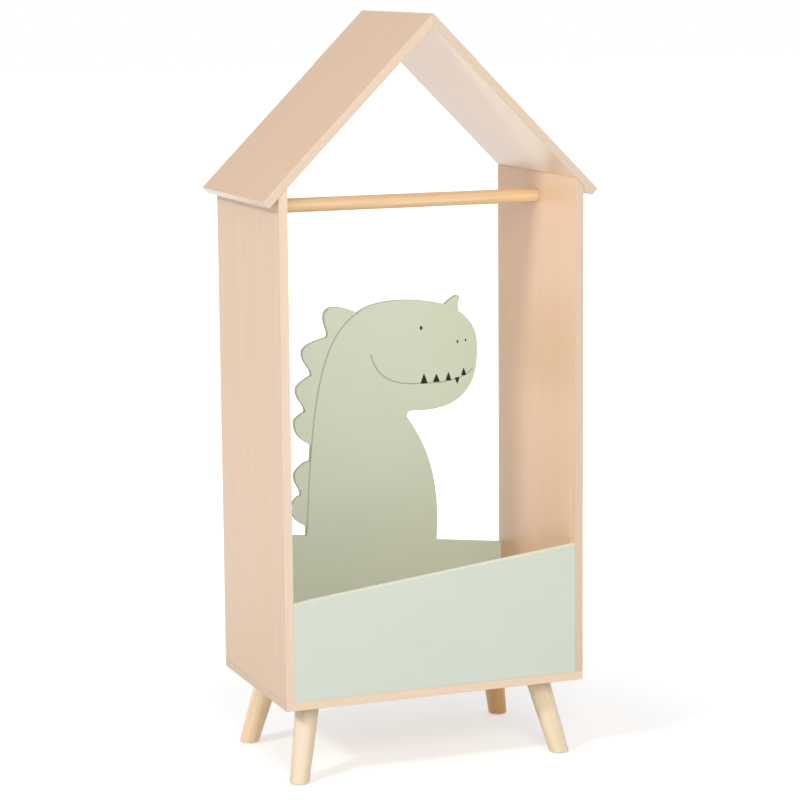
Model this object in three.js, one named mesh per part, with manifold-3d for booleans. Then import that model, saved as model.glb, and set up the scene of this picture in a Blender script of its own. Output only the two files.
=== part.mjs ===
// A child's coat stand in the shape of a house: a hanging rail under a pitched roof,
// a toy box below it whose back board is a dinosaur cut-out, and four splayed legs.
// Millimetres. X runs to the right, Y to the back and Z up, from the floor under the middle of the stand.

import * as THREE from 'three';
import { mergeVertices } from 'three/addons/utils/BufferGeometryUtils.js';
import Module from 'manifold-3d';

// House
const BODY_WIDTH = 550;
const BODY_DEPTH = 336;
const RIDGE_HEIGHT = 1300;
const BASE_HEIGHT = 136; // floor to the underside of the base board
const BOARD = 15;
const ROOF_PITCH = THREE.MathUtils.degToRad(45);
const EAVE_REACH = 27; // how far the roof stands out past the side panels

// Toy box: the front board rises to the right, the back board to the left
const BOX_LOW = 169;
const BOX_HIGH = 228;
const BACK_BOARD = 12;

// Hanging rail
const RAIL_DIAMETER = 25;
const RAIL_DROP = 43; // rail centre under the inside top corner of a side panel
const RAIL_SOCKET = 8;

// Legs
const LEG_INSET_X = 61; // leg centre at the base, in from the sides
const LEG_INSET_Y = 66; // and in from the front and back
const LEG_LEAN = THREE.MathUtils.degToRad(18.9);
const LEG_TURN = THREE.MathUtils.degToRad(50.3); // direction of the splay, from the width of the stand
const LEG_TOP_DIAMETER = 42;
const LEG_FOOT_DIAMETER = 33;
const GLIDE_DIAMETER = 20;
const GLIDE_THICKNESS = 2;
const GLIDE_CHAMFER = 0.5;
const GLIDE_PIN_DIAMETER = 2.5;
const GLIDE_PIN_LENGTH = 12;
const GLIDE_PIN_POINT = 2;

// Fits
const FIT = 0.3; // clearance round and past everything that sits in a hole
const FACE_SKIN = 5; // board left behind a blind hole in a face
const CAM_SKIN = 2.5; // board left behind a cam

// Wooden dowels
const DOWEL_DIAMETER = 8;
const DOWEL_LENGTH = 30;
const THIN_DOWEL_DIAMETER = 6;
const RIDGE_DOWEL_LENGTH = 16;
const LEG_DOWEL_LENGTH = 20;
const DOWEL_CHAMFER = 1;
const DOWEL_FROM_EDGE = 90; // base dowels, in from the front and back
const ROOF_DOWEL_FROM_EDGE = 60;
const RIDGE_DOWEL_FROM_EDGE = 58;
const BOX_DOWEL_FROM_END = 35; // box boards: over the base, and under the low end of the top
const LEG_DOWEL_OFFSET = 12; // from the leg bolt, towards the foot

// Screws with a countersunk head: diameters, and how far along the screw the head and the shank end
const BASE_SCREW = { head: 10, shank: 7, core: 5, headEnd: 3.5, shankEnd: 13, length: 50 };
const LEG_BOLT = { head: 12, shank: 6, core: 6, headEnd: 3.5, shankEnd: 20, length: 33 };
const SCREW_STEP = 1; // length of the taper from the shank to the core
const SCREW_POINT = 3;
const SCREW_TIP_RADIUS = 1.2;
const SCREW_FROM_EDGE = 40; // base screws, in from the front and back
const SOCKET_RADIUS = 2.3; // hexagon socket, to its corners
const SOCKET_DEPTH = 2.5;
const INSERT_DIAMETER = 10;
const INSERT_LENGTH = 18;

// Cams, and the bolts that they draw in
const CAM_REACH = 24; // end of the board to the middle of the cam
const CAM_BOLT_DIAMETER = 6;
const CAM_BOLT_POINT = 2;
const CAM_BOLT_TIP_RADIUS = 2;
const CAM_NECK_DIAMETER = 4;
const CAM_HEAD_DIAMETER = 5.6;
const CAM_HEAD_LENGTH = 4;
const CAM_HEAD_ROUNDING = 0.5;
const FRONT_CAM_DIAMETER = 15;
const BACK_CAM_DIAMETER = 12;
const CAM_SLOT_MARGIN = 3; // the cross slot stays this far in from the rim
const CAM_SLOT_WIDTH = 1.4;
const CAM_SLOT_DEPTH = 1.4;

// Dinosaur outline: X in the figure's own frame, Z up from the sloping top of the back board at its middle
const SNOUT_GAP = 47; // snout to the right side panel
const BELLY_X = 131;
const SPINE_FOOT_X = -121.5;
const BELLY_SWELL = new THREE.Vector2(138, 86);
const NECK_BEND = new THREE.Vector2(122, 150);
const NECK_TOP = new THREE.Vector2(77, 215);
const THROAT = new THREE.Vector2(71, 228);
const JAW_START = new THREE.Vector2(85, 229);
const JAW = new THREE.Vector2(140, 225);
const CHIN = new THREE.Vector2(210, 234);
const SNOUT = new THREE.Vector2(213, 325);
const SNOUT_TOP = new THREE.Vector2(215, 365);
const BROW = new THREE.Vector2(208, 384);
const HORN_FRONT = new THREE.Vector2(177, 407);
const HORN_HOLLOW = new THREE.Vector2(174, 421);
const HORN_TIP_FRONT = new THREE.Vector2(179, 431);
const HORN_TIP = new THREE.Vector2(180, 436);
const HORN_TIP_BACK = new THREE.Vector2(173, 435);
const HORN_SLOPE = new THREE.Vector2(161, 430);
const HORN_BACK = new THREE.Vector2(151, 420);
const FOREHEAD = new THREE.Vector2(95, 435);
const CROWN = new THREE.Vector2(20, 439);
const NAPE = new THREE.Vector2(-18, 414);
const SHOULDER = new THREE.Vector2(-100, 372);
const BACK_HOLLOW = new THREE.Vector2(-110, 220);

// Plates down its back, in two rows. Tip and foot lie so far along the spine from the nape, and stand so
// far off it. Lean slopes a plate's upper edge, and fullness says how far its lower edge stays out.
const PLATE_ROWS = [
  {
    start: 0,
    plates: [
      { tip: 36, tipOff: 43, foot: 69, footOff: 14, lean: 0.3, fullness: 0.5 },
      { tip: 103, tipOff: 47, foot: 139, footOff: 19, lean: 0.3, fullness: 0.5 },
      { tip: 165, tipOff: 41, foot: 203, footOff: 19, lean: 0.3, fullness: 0.5 },
      { tip: 221, tipOff: 36, foot: 264, footOff: 0, lean: 0.3, fullness: 0.75 },
    ],
  },
  {
    start: 291,
    plates: [
      { tip: 316, tipOff: 28, foot: 354, footOff: 14, lean: 0, fullness: 0.5 },
      { tip: 374, tipOff: 31, foot: 412, footOff: 0, lean: 0, fullness: 0.75 },
    ],
  },
];
const EDGE_RISE = 0.4; // share of a plate's height at the first handle of its upper edge
const EDGE_CREST = 0.3; // share of the upper edge's length where its crest rounds into the tip
const HANDLES = 0.85; // both handles of the lower edge together, as a share of its length

// Facets
const SIDES = 12;
const ROUND_SIDES = 28; // rail and legs
const SOCKET_SIDES = 6;
const CURVE_STEPS = 12;
const OVERRUN = 1; // how far a cutter starts outside the face that it enters

// Derived places
const halfWidth = BODY_WIDTH / 2;
const halfDepth = BODY_DEPTH / 2;
const innerHalfWidth = halfWidth - BOARD;
const sideCentre = halfWidth - BOARD / 2;
const floorOfBox = BASE_HEIGHT + BOARD;
const roofDrop = BOARD / Math.cos(ROOF_PITCH); // roof thickness measured straight down
const faceDepth = BOARD - FACE_SKIN; // how deep a dowel or cam bolt goes into a board's face
const camLift = BOX_LOW / 2; // cams over the floor of the box
const figureX = innerHalfWidth - SNOUT_GAP - SNOUT.x; // middle of the dinosaur from the middle of the stand

const UP = new THREE.Vector3(0, 0, 1);
const DOWN = new THREE.Vector3(0, 0, -1);
const RIGHT = new THREE.Vector3(1, 0, 0);
const BACKWARD = new THREE.Vector3(0, 1, 0);

// Two sides, -1 left and 1 right, and four corners as [side, row], with row -1 front and 1 back
const BOTH = [-1, 1];
const CORNERS = BOTH.flatMap((side) => BOTH.map((row) => [side, row]));
const sideName = (side) => (side < 0 ? 'left' : 'right');
const cornerName = (side, row) => `${row < 0 ? 'front' : 'back'}_${sideName(side)}`;

const wood = { roughness: 0.55, metalness: 0 };
const beech = new THREE.MeshStandardMaterial({ color: 0xe7ccb2, ...wood });
const pine = new THREE.MeshStandardMaterial({ color: 0xf3dcba, ...wood });
const railPine = new THREE.MeshStandardMaterial({ color: 0xf0c896, ...wood });
const mint = new THREE.MeshStandardMaterial({ color: 0xd5dccd, ...wood });
const sage = new THREE.MeshStandardMaterial({ color: 0xc8ccb4, ...wood });
const dowelWood = new THREE.MeshStandardMaterial({ color: 0xd8b98c, ...wood });
const zinc = new THREE.MeshStandardMaterial({ color: 0xb9bcc0, roughness: 0.35, metalness: 1 });
const nylon = new THREE.MeshStandardMaterial({ color: 0xe9e6df, roughness: 0.5, metalness: 0 });

// Solids and cuts
const wasm = await Module();
wasm.setup();

function solidOf(geometry) {
  const bare = geometry.clone();
  bare.deleteAttribute('normal');
  bare.deleteAttribute('uv');
  const merged = mergeVertices(bare, 1e-3);
  const vertProperties = new Float32Array(merged.attributes.position.array);
  const triVerts = new Uint32Array(merged.index.array);
  return new wasm.Manifold(new wasm.Mesh({ numProp: 3, vertProperties, triVerts }));
}

function geometryOf(solid) {
  const { vertProperties, triVerts } = solid.getMesh();
  const indexed = new THREE.BufferGeometry();
  indexed.setAttribute('position', new THREE.BufferAttribute(new Float32Array(vertProperties), 3));
  indexed.setIndex(new THREE.BufferAttribute(new Uint32Array(triVerts), 1));
  const faceted = indexed.toNonIndexed();
  faceted.computeVertexNormals();
  return faceted;
}

// Takes the cutters, which are placed in the stand's frame, out of a mesh wherever it stands.
function cut(mesh, cutters) {
  mesh.updateWorldMatrix(true, false);
  const toMesh = mesh.matrixWorld.clone().invert();
  let body = solidOf(mesh.geometry);
  for (const cutter of cutters) {
    body = body.subtract(solidOf(cutter.clone().applyMatrix4(toMesh)));
  }
  mesh.geometry = geometryOf(body);
}

// Splits a mesh's flat faces along the sides of a block, so that what lies inside it is a face of its own.
function splitFaces(mesh, block) {
  mesh.updateWorldMatrix(true, false);
  const body = solidOf(mesh.geometry);
  const blockSolid = solidOf(block.clone().applyMatrix4(mesh.matrixWorld.clone().invert()));
  const outside = solidOf(geometryOf(body.subtract(blockSolid)));
  const inside = solidOf(geometryOf(body.intersect(blockSolid)));
  mesh.geometry = geometryOf(outside.add(inside));
}

// A piece turned about Z from [radius, height] pairs that run up from axis to axis.
function turned(profile, sides = SIDES) {
  const points = profile.map(([radius, height]) => new THREE.Vector2(radius, height));
  return new THREE.LatheGeometry(points, sides).rotateX(Math.PI / 2);
}

// A board cut to an outline in X and Z, whose back face lies at Y = 0.
function plank(outline, thickness) {
  const options = { depth: thickness, bevelEnabled: false, curveSegments: CURVE_STEPS };
  return new THREE.ExtrudeGeometry(outline, options).rotateX(Math.PI / 2);
}

function outlineOf(corners) {
  return new THREE.Shape(corners.map(([x, z]) => new THREE.Vector2(x, z)));
}

const stand = new THREE.Group();

function add(parent, name, geometry, material, x, y, z) {
  const mesh = new THREE.Mesh(geometry, material);
  mesh.name = name;
  mesh.position.set(x, y, z);
  parent.add(mesh);
  return mesh;
}

// A pin, screw or rail along a direction, with the cutter for the hole that it sits in.
function addPin(name, profileOf, material, at, towards, sides = SIDES) {
  const mesh = add(stand, name, turned(profileOf(0), sides), material, at.x, at.y, at.z);
  mesh.quaternion.setFromUnitVectors(UP, towards);
  mesh.updateMatrix();
  mesh.userData.hole = turned(profileOf(FIT), sides).applyMatrix4(mesh.matrix);
  return mesh;
}

function addDowel(name, diameter, length, at, towards) {
  return addPin(name, pegProfile(diameter, length), dowelWood, at, towards);
}

function addScrew(name, screw, at, towards) {
  const mesh = addPin(name, screwProfile(screw), zinc, at, towards);
  const socket = [[0, -OVERRUN], [SOCKET_RADIUS, -OVERRUN], [SOCKET_RADIUS, SOCKET_DEPTH], [0, SOCKET_DEPTH]];
  cut(mesh, [turned(socket, SOCKET_SIDES).applyMatrix4(mesh.matrix)]);
  return mesh;
}

const holesOf = (...pins) => pins.flat().map((pin) => pin.userData.hole);

// Profiles: gap 0 gives the piece, and gap FIT the hole for it
function pegProfile(diameter, length) {
  return (gap) => {
    const radius = diameter / 2 + gap;
    const tip = radius - DOWEL_CHAMFER;
    const low = -gap;
    const high = length + gap;
    const lowEnd = [[0, low], [tip, low], [radius, low + DOWEL_CHAMFER]];
    return [...lowEnd, [radius, high - DOWEL_CHAMFER], [tip, high], [0, high]];
  };
}

function screwProfile(screw) {
  return (gap) => {
    const head = screw.head / 2 + gap;
    const shank = screw.shank / 2 + gap;
    const core = screw.core / 2 + gap;
    const end = screw.length + gap;
    const entry = gap > 0 ? [[0, -OVERRUN], [head, -OVERRUN]] : [[0, 0]];
    const neck = [[head, 0], [shank, screw.headEnd], [shank, screw.shankEnd]];
    const point = [[core, end - SCREW_POINT], [SCREW_TIP_RADIUS, end], [0, end]];
    return [...entry, ...neck, [core, screw.shankEnd + SCREW_STEP], ...point];
  };
}

// From the point in the side panel to the head in the cam: the end of the board lies at height 0.
function camBoltProfile(gap) {
  const shank = CAM_BOLT_DIAMETER / 2 + gap;
  const start = -faceDepth - gap;
  const point = [[0, start], [CAM_BOLT_TIP_RADIUS + gap, start], [shank, start + CAM_BOLT_POINT]];
  if (gap > 0) return [...point, [shank, CAM_REACH], [0, CAM_REACH]];
  const neck = CAM_NECK_DIAMETER / 2;
  const head = CAM_HEAD_DIAMETER / 2;
  const neckStart = CAM_REACH - FRONT_CAM_DIAMETER / 2 - OVERRUN;
  const headStart = CAM_REACH - CAM_HEAD_LENGTH / 2;
  const headEnd = CAM_REACH + CAM_HEAD_LENGTH / 2;
  const headSide = [[head, headStart + CAM_HEAD_ROUNDING], [head, headEnd - CAM_HEAD_ROUNDING]];
  const neckSide = [[shank, neckStart], [neck, neckStart], [neck, headStart]];
  return [...point, ...neckSide, ...headSide, [neck, headEnd], [0, headEnd]];
}

// A plain bore that opens at Z = 0 and goes down
function boreProfile(diameter, depth) {
  const radius = diameter / 2 + FIT;
  return [[0, -depth - FIT], [radius, -depth - FIT], [radius, OVERRUN], [0, OVERRUN]];
}

// Roof line
const roofTopAt = (x) => RIDGE_HEIGHT - Math.abs(x) * Math.tan(ROOF_PITCH);
const roofUnderAt = (x) => roofTopAt(x) - roofDrop;

// Side panel: stands on the base, with its top bevelled to the roof
function sidePanel(side) {
  const top = (x) => roofUnderAt(x) - FIT / Math.cos(ROOF_PITCH) - floorOfBox;
  const outline = outlineOf([
    [side * innerHalfWidth, 0],
    [side * halfWidth, 0],
    [side * halfWidth, top(halfWidth)],
    [side * innerHalfWidth, top(innerHalfWidth)],
  ]);
  const geometry = plank(outline, BODY_DEPTH);
  return add(stand, `${sideName(side)}_side_panel`, geometry, beech, 0, halfDepth, floorOfBox);
}

// Roof slab: mitred at the ridge and cut square at the eave
function roofSlab(side) {
  const eaveX = halfWidth + EAVE_REACH;
  const eaveTop = roofTopAt(eaveX) - RIDGE_HEIGHT;
  const outline = outlineOf([
    [0, -roofDrop],
    [side * (eaveX - BOARD * Math.sin(ROOF_PITCH)), eaveTop - BOARD * Math.cos(ROOF_PITCH)],
    [side * eaveX, eaveTop],
    [0, 0],
  ]);
  const geometry = plank(outline, BODY_DEPTH);
  return add(stand, `${sideName(side)}_roof_slab`, geometry, beech, 0, halfDepth, RIDGE_HEIGHT);
}

function baseBoardPanel() {
  const geometry = new THREE.BoxGeometry(BODY_WIDTH, BODY_DEPTH, BOARD);
  return add(stand, 'base_board', geometry, beech, 0, 0, BASE_HEIGHT + BOARD / 2);
}

// The base board's open floor, clear of the four walls of the toy box
function openFloorBlock() {
  const width = 2 * (innerHalfWidth - FIT);
  const depth = BODY_DEPTH - BOARD - BACK_BOARD - 2 * FIT;
  const middle = (BOARD - BACK_BOARD) / 2;
  return new THREE.BoxGeometry(width, depth, 2 * BOARD).translate(0, middle, floorOfBox - BOARD / 2);
}

// Height of a box board's sloping top over the floor of the box: rise is 1 where it climbs to the right
function boxTopAt(x, rise) {
  const slope = (BOX_HIGH - BOX_LOW) / (2 * innerHalfWidth);
  return (BOX_LOW + BOX_HIGH) / 2 + rise * x * slope;
}

function frontBoard() {
  const outline = outlineOf([
    [-innerHalfWidth, 0],
    [innerHalfWidth, 0],
    [innerHalfWidth, boxTopAt(innerHalfWidth, 1)],
    [-innerHalfWidth, boxTopAt(-innerHalfWidth, 1)],
  ]);
  return add(stand, 'front_board', plank(outline, BOARD), mint, 0, BOARD - halfDepth, floorOfBox);
}

// A point so far along the spine and so far out from it, towards the back of the animal
function offSpine(spine, station, off) {
  const share = THREE.MathUtils.clamp(station / spine.getLength(), 0, 1);
  const along = spine.getTangentAt(share);
  return spine.getPointAt(share).add(new THREE.Vector2(along.y, -along.x).multiplyScalar(off));
}

// One plate: an upper edge that climbs to a blunt tip, then a lower edge back in to the next foot
function plateEdge(outline, spine, from, plate) {
  const upper = plate.tip - from.foot;
  const lower = plate.foot - plate.tip;
  const rise = from.footOff + (plate.tipOff - from.footOff) * EDGE_RISE;
  const climb = offSpine(spine, from.foot + upper * plate.lean, rise);
  const crest = offSpine(spine, plate.tip - upper * EDGE_CREST, plate.tipOff);
  const tip = offSpine(spine, plate.tip, plate.tipOff);
  const belly = offSpine(spine, plate.tip + lower * plate.fullness, plate.tipOff);
  const hollow = offSpine(spine, plate.foot - lower * (HANDLES - plate.fullness), plate.footOff);
  const foot = offSpine(spine, plate.foot, plate.footOff);
  outline.bezierCurveTo(climb.x, climb.y, crest.x, crest.y, tip.x, tip.y);
  outline.bezierCurveTo(belly.x, belly.y, hollow.x, hollow.y, foot.x, foot.y);
}

// Neck, jaw, snout and crown, from the belly up and over to the nape
function headEdge(outline) {
  outline.bezierCurveTo(BELLY_SWELL.x, BELLY_SWELL.y, NECK_BEND.x, NECK_BEND.y, NECK_TOP.x, NECK_TOP.y);
  outline.quadraticCurveTo(THROAT.x, THROAT.y, JAW_START.x, JAW_START.y);
  outline.bezierCurveTo(JAW.x, JAW.y, CHIN.x, CHIN.y, SNOUT.x, SNOUT.y);
  outline.bezierCurveTo(SNOUT_TOP.x, SNOUT_TOP.y, BROW.x, BROW.y, HORN_FRONT.x, HORN_FRONT.y);
  outline.quadraticCurveTo(HORN_HOLLOW.x, HORN_HOLLOW.y, HORN_TIP_FRONT.x, HORN_TIP_FRONT.y);
  outline.quadraticCurveTo(HORN_TIP.x, HORN_TIP.y, HORN_TIP_BACK.x, HORN_TIP_BACK.y);
  outline.quadraticCurveTo(HORN_SLOPE.x, HORN_SLOPE.y, HORN_BACK.x, HORN_BACK.y);
  outline.bezierCurveTo(FOREHEAD.x, FOREHEAD.y, CROWN.x, CROWN.y, NAPE.x, NAPE.y);
}

// The back board and the animal that grows out of its top, in the figure's own frame
function dinosaurOutline() {
  const middle = boxTopAt(figureX, -1);
  const top = (x) => new THREE.Vector2(x, boxTopAt(x + figureX, -1) - middle);
  const left = top(-innerHalfWidth - figureX);
  const right = top(innerHalfWidth - figureX);
  const bellyFoot = top(BELLY_X);
  const spineFoot = top(SPINE_FOOT_X);
  const spine = new THREE.CubicBezierCurve(NAPE, SHOULDER, BACK_HOLLOW, spineFoot);
  const outline = new THREE.Shape();
  outline.moveTo(left.x, -middle);
  outline.lineTo(right.x, -middle);
  outline.lineTo(right.x, right.y);
  outline.lineTo(bellyFoot.x, bellyFoot.y);
  headEdge(outline);
  for (const row of PLATE_ROWS) {
    const start = offSpine(spine, row.start, 0);
    let from = { foot: row.start, footOff: 0 };
    if (row.start > 0) outline.lineTo(start.x, start.y);
    for (const plate of row.plates) {
      plateEdge(outline, spine, from, plate);
      from = plate;
    }
  }
  outline.lineTo(spineFoot.x, spineFoot.y);
  outline.lineTo(left.x, left.y);
  return outline;
}

function dinosaurBackBoard() {
  const geometry = plank(dinosaurOutline(), BACK_BOARD);
  const height = floorOfBox + boxTopAt(figureX, -1);
  return add(stand, 'dinosaur_back_board', geometry, sage, figureX, halfDepth, height);
}

function hangingRail() {
  const reach = innerHalfWidth + RAIL_SOCKET - FIT;
  const height = roofUnderAt(innerHalfWidth) - RAIL_DROP;
  const at = new THREE.Vector3(-reach, 0, height);
  return addPin('hanging_rail', pegProfile(RAIL_DIAMETER, 2 * reach), railPine, at, RIGHT, ROUND_SIDES);
}

// Base to side panels: a screw from below and a dowel at each corner
function baseFixings() {
  return CORNERS.flatMap(([side, row]) => {
    const x = side * sideCentre;
    const screwAt = new THREE.Vector3(x, row * (halfDepth - SCREW_FROM_EDGE), BASE_HEIGHT);
    const dowelAt = new THREE.Vector3(x, row * (halfDepth - DOWEL_FROM_EDGE), floorOfBox - faceDepth);
    const name = cornerName(side, row);
    return [
      addScrew(`base_screw_${name}`, BASE_SCREW, screwAt, UP),
      addDowel(`base_dowel_${name}`, DOWEL_DIAMETER, DOWEL_LENGTH, dowelAt, UP),
    ];
  });
}

// Side panels to roof: upright dowels, so that the joined roof drops on from above
function roofDowels() {
  const top = roofTopAt(sideCentre + DOWEL_DIAMETER / 2) - FACE_SKIN;
  return CORNERS.map(([side, row]) => {
    const y = row * (halfDepth - ROOF_DOWEL_FROM_EDGE);
    const at = new THREE.Vector3(side * sideCentre, y, top - DOWEL_LENGTH);
    return addDowel(`roof_dowel_${cornerName(side, row)}`, DOWEL_DIAMETER, DOWEL_LENGTH, at, UP);
  });
}

// Dowels across the ridge mitre, midway between its inside corner and the roof's face over their ends
function ridgeDowels() {
  const half = RIDGE_DOWEL_LENGTH / 2;
  const height = (roofUnderAt(0) + roofTopAt(half)) / 2;
  const reach = halfDepth - RIDGE_DOWEL_FROM_EDGE;
  const places = { front: -reach, middle: 0, back: reach };
  return Object.entries(places).map(([name, y]) => {
    const at = new THREE.Vector3(-half, y, height);
    return addDowel(`ridge_dowel_${name}`, THIN_DOWEL_DIAMETER, RIDGE_DOWEL_LENGTH, at, RIGHT);
  });
}

// A cam: a bored plug whose claw holds the bolt's head, turned by the cross slot in its face.
// Its face lies at Z = 0. The bolt comes in along -X, and its head came in along +Y before the cam turned.
function camGeometry(diameter, height, axisDepth) {
  const plug = turned([[0, -height], [diameter / 2, -height], [diameter / 2, 0], [0, 0]]);
  const neckGap = CAM_NECK_DIAMETER / 2 + FIT;
  const headGap = CAM_HEAD_DIAMETER / 2 + FIT;
  const headRoom = CAM_HEAD_LENGTH + 2 * FIT;
  const run = diameter / 2 + OVERRUN;
  const neckWay = new THREE.CylinderGeometry(neckGap, neckGap, run, SIDES).rotateZ(Math.PI / 2);
  neckWay.translate(-run / 2, 0, -axisDepth);
  const headWay = new THREE.CylinderGeometry(headGap, headGap, run, SIDES).translate(0, run / 2, -axisDepth);
  const pocket = new THREE.CylinderGeometry(headGap, headGap, headRoom, SIDES).rotateZ(Math.PI / 2);
  pocket.translate(0, 0, -axisDepth);
  const sweep = new THREE.Shape().moveTo(0, 0).absarc(0, 0, run, Math.PI / 2, Math.PI, false).lineTo(0, 0);
  const clawOptions = { depth: 2 * neckGap, bevelEnabled: false, curveSegments: SIDES };
  const claw = new THREE.ExtrudeGeometry(sweep, clawOptions);
  claw.translate(0, 0, -axisDepth - neckGap);
  const slotLength = diameter - 2 * CAM_SLOT_MARGIN;
  const slotX = new THREE.BoxGeometry(slotLength, CAM_SLOT_WIDTH, 2 * CAM_SLOT_DEPTH);
  const slotY = new THREE.BoxGeometry(CAM_SLOT_WIDTH, slotLength, 2 * CAM_SLOT_DEPTH);
  const ways = [neckWay, headWay, pocket, claw, slotX, slotY];
  return geometryOf(ways.reduce((body, way) => body.subtract(solidOf(way)), solidOf(plug)));
}

// Box board to side panels: at each end a cam with its bolt, between two dowels.
// The cams open on the face of the board that looks backwards, where nobody sees them from the front.
function boxFixings(board, middleY, thickness, camDiameter, dowelDiameter) {
  const camHeight = thickness - CAM_SKIN;
  const cam = camGeometry(camDiameter, camHeight, thickness / 2);
  const camBore = turned(boreProfile(camDiameter, camHeight));
  const camZ = floorOfBox + camLift;
  const dowelLifts = { low: BOX_DOWEL_FROM_END, high: BOX_LOW - BOX_DOWEL_FROM_END };
  const pins = [];
  const bores = [];
  for (const side of BOTH) {
    const inwards = RIGHT.clone().multiplyScalar(-side);
    const endX = side * innerHalfWidth;
    const end = sideName(side);
    const boltAt = new THREE.Vector3(endX, middleY, camZ);
    pins.push(addPin(`${board}_cam_bolt_${end}`, camBoltProfile, zinc, boltAt, inwards));
    for (const [level, lift] of Object.entries(dowelLifts)) {
      const at = new THREE.Vector3(endX + side * faceDepth, middleY, floorOfBox + lift);
      pins.push(addDowel(`${board}_dowel_${end}_${level}`, dowelDiameter, DOWEL_LENGTH, at, inwards));
    }
    const camX = endX - side * CAM_REACH;
    const mesh = add(stand, `${board}_cam_${end}`, cam, zinc, camX, middleY + thickness / 2, camZ);
    const upwards = BACKWARD.clone().cross(inwards);
    mesh.quaternion.setFromRotationMatrix(new THREE.Matrix4().makeBasis(inwards, upwards, BACKWARD));
    mesh.updateMatrix();
    bores.push(camBore.clone().applyMatrix4(mesh.matrix));
  }
  return { pins, bores };
}

// A group at the leg's top centre whose X axis points the way the leg splays
function legPlace(side, row) {
  const place = new THREE.Group();
  place.position.set(side * (halfWidth - LEG_INSET_X), row * (halfDepth - LEG_INSET_Y), BASE_HEIGHT);
  place.rotation.z = Math.atan2(row * Math.sin(LEG_TURN), side * Math.cos(LEG_TURN));
  stand.add(place);
  place.updateMatrixWorld(true);
  return place;
}

// Tapered leg, cut level at the base board and at the glide
function legGeometry(height) {
  const length = height / Math.cos(LEG_LEAN);
  const top = LEG_TOP_DIAMETER / 2;
  const foot = LEG_FOOT_DIAMETER / 2;
  const spare = top * Math.tan(LEG_LEAN) + OVERRUN;
  const lowEnd = [[0, -length - spare], [foot, -length - spare], [foot, -length]];
  const cone = turned([...lowEnd, [top, 0], [top, spare], [0, spare]], ROUND_SIDES);
  cone.rotateY(-LEG_LEAN);
  const room = 2 * (length + LEG_TOP_DIAMETER);
  const level = new THREE.BoxGeometry(room, room, height).translate(0, 0, -height / 2);
  return geometryOf(solidOf(cone).intersect(solidOf(level)));
}

// Nail-on glide: a flat disc with its nail, which stands on the floor
function glideGeometry() {
  const rim = GLIDE_DIAMETER / 2;
  const nail = GLIDE_PIN_DIAMETER / 2;
  const end = GLIDE_THICKNESS + GLIDE_PIN_LENGTH;
  const disc = [[0, 0], [rim - GLIDE_CHAMFER, 0], [rim, GLIDE_CHAMFER], [rim, GLIDE_THICKNESS]];
  return turned([...disc, [nail, GLIDE_THICKNESS], [nail, end - GLIDE_PIN_POINT], [0, end]]);
}

function insertGeometry() {
  const inner = LEG_BOLT.shank / 2 + FIT;
  const outer = INSERT_DIAMETER / 2;
  const wall = [[inner, -INSERT_LENGTH], [outer, -INSERT_LENGTH], [outer, 0], [inner, 0]];
  return turned([...wall, [inner, -INSERT_LENGTH]]);
}

// Leg with its glide, a bolt from inside the box into a threaded insert, and a dowel that stops it turning
function addLeg(side, row) {
  const place = legPlace(side, row);
  const name = cornerName(side, row);
  const height = BASE_HEIGHT - GLIDE_THICKNESS;
  const footX = height * Math.tan(LEG_LEAN);
  const inStand = (x, z) => place.localToWorld(new THREE.Vector3(x, 0, z));
  const leg = add(place, `leg_${name}`, legGeometry(height), pine, 0, 0, 0);
  add(place, `glide_${name}`, glideGeometry(), nylon, footX, 0, -BASE_HEIGHT);
  add(place, `leg_insert_${name}`, insertGeometry(), zinc, 0, 0, -FIT);
  const bolt = addScrew(`leg_bolt_${name}`, LEG_BOLT, inStand(0, BOARD), DOWN);
  const dowelAt = inStand(LEG_DOWEL_OFFSET, faceDepth - LEG_DOWEL_LENGTH);
  const dowel = addDowel(`leg_dowel_${name}`, THIN_DOWEL_DIAMETER, LEG_DOWEL_LENGTH, dowelAt, UP);
  const boltReach = LEG_BOLT.length - BOARD;
  const insertBore = turned(boreProfile(INSERT_DIAMETER, Math.max(INSERT_LENGTH, boltReach) + FIT));
  const nailBore = turned(boreProfile(GLIDE_PIN_DIAMETER, GLIDE_PIN_LENGTH)).rotateX(Math.PI);
  nailBore.translate(footX, 0, -height);
  const bores = [insertBore, nailBore].map((bore) => bore.applyMatrix4(place.matrixWorld));
  cut(leg, [...bores, ...holesOf(dowel)]);
  return [bolt, dowel];
}

const panels = BOTH.map(sidePanel);
const slabs = BOTH.map(roofSlab);
const baseBoard = baseBoardPanel();
const front = frontBoard();
const dinosaur = dinosaurBackBoard();
const rail = hangingRail();
const basePins = baseFixings();
const eavePins = roofDowels();
const ridgePins = ridgeDowels();
const frontY = BOARD / 2 - halfDepth;
const backY = halfDepth - BACK_BOARD / 2;
const frontFixings = boxFixings('front', frontY, BOARD, FRONT_CAM_DIAMETER, DOWEL_DIAMETER);
const backFixings = boxFixings('back', backY, BACK_BOARD, BACK_CAM_DIAMETER, THIN_DOWEL_DIAMETER);
const legPins = CORNERS.flatMap(([side, row]) => addLeg(side, row));

const panelHoles = holesOf(basePins, eavePins, frontFixings.pins, backFixings.pins, rail);
for (const panel of panels) cut(panel, panelHoles);
for (const slab of slabs) cut(slab, holesOf(eavePins, ridgePins));
cut(baseBoard, holesOf(basePins, legPins));
splitFaces(baseBoard, openFloorBlock());
cut(front, [...holesOf(frontFixings.pins), ...frontFixings.bores]);
cut(dinosaur, [...holesOf(backFixings.pins), ...backFixings.bores]);

export default stand;
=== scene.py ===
"""The kids coat stand, dressed.

Boards of beech-decor chipboard with banded edges, a mint front board, a sage dinosaur panel with its
printed face, turned pine legs, a pine rail, and the metal fittings that show in the box, below and behind.
Metres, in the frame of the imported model: X to the right, Y to the back, Z up.
"""

import math

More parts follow.
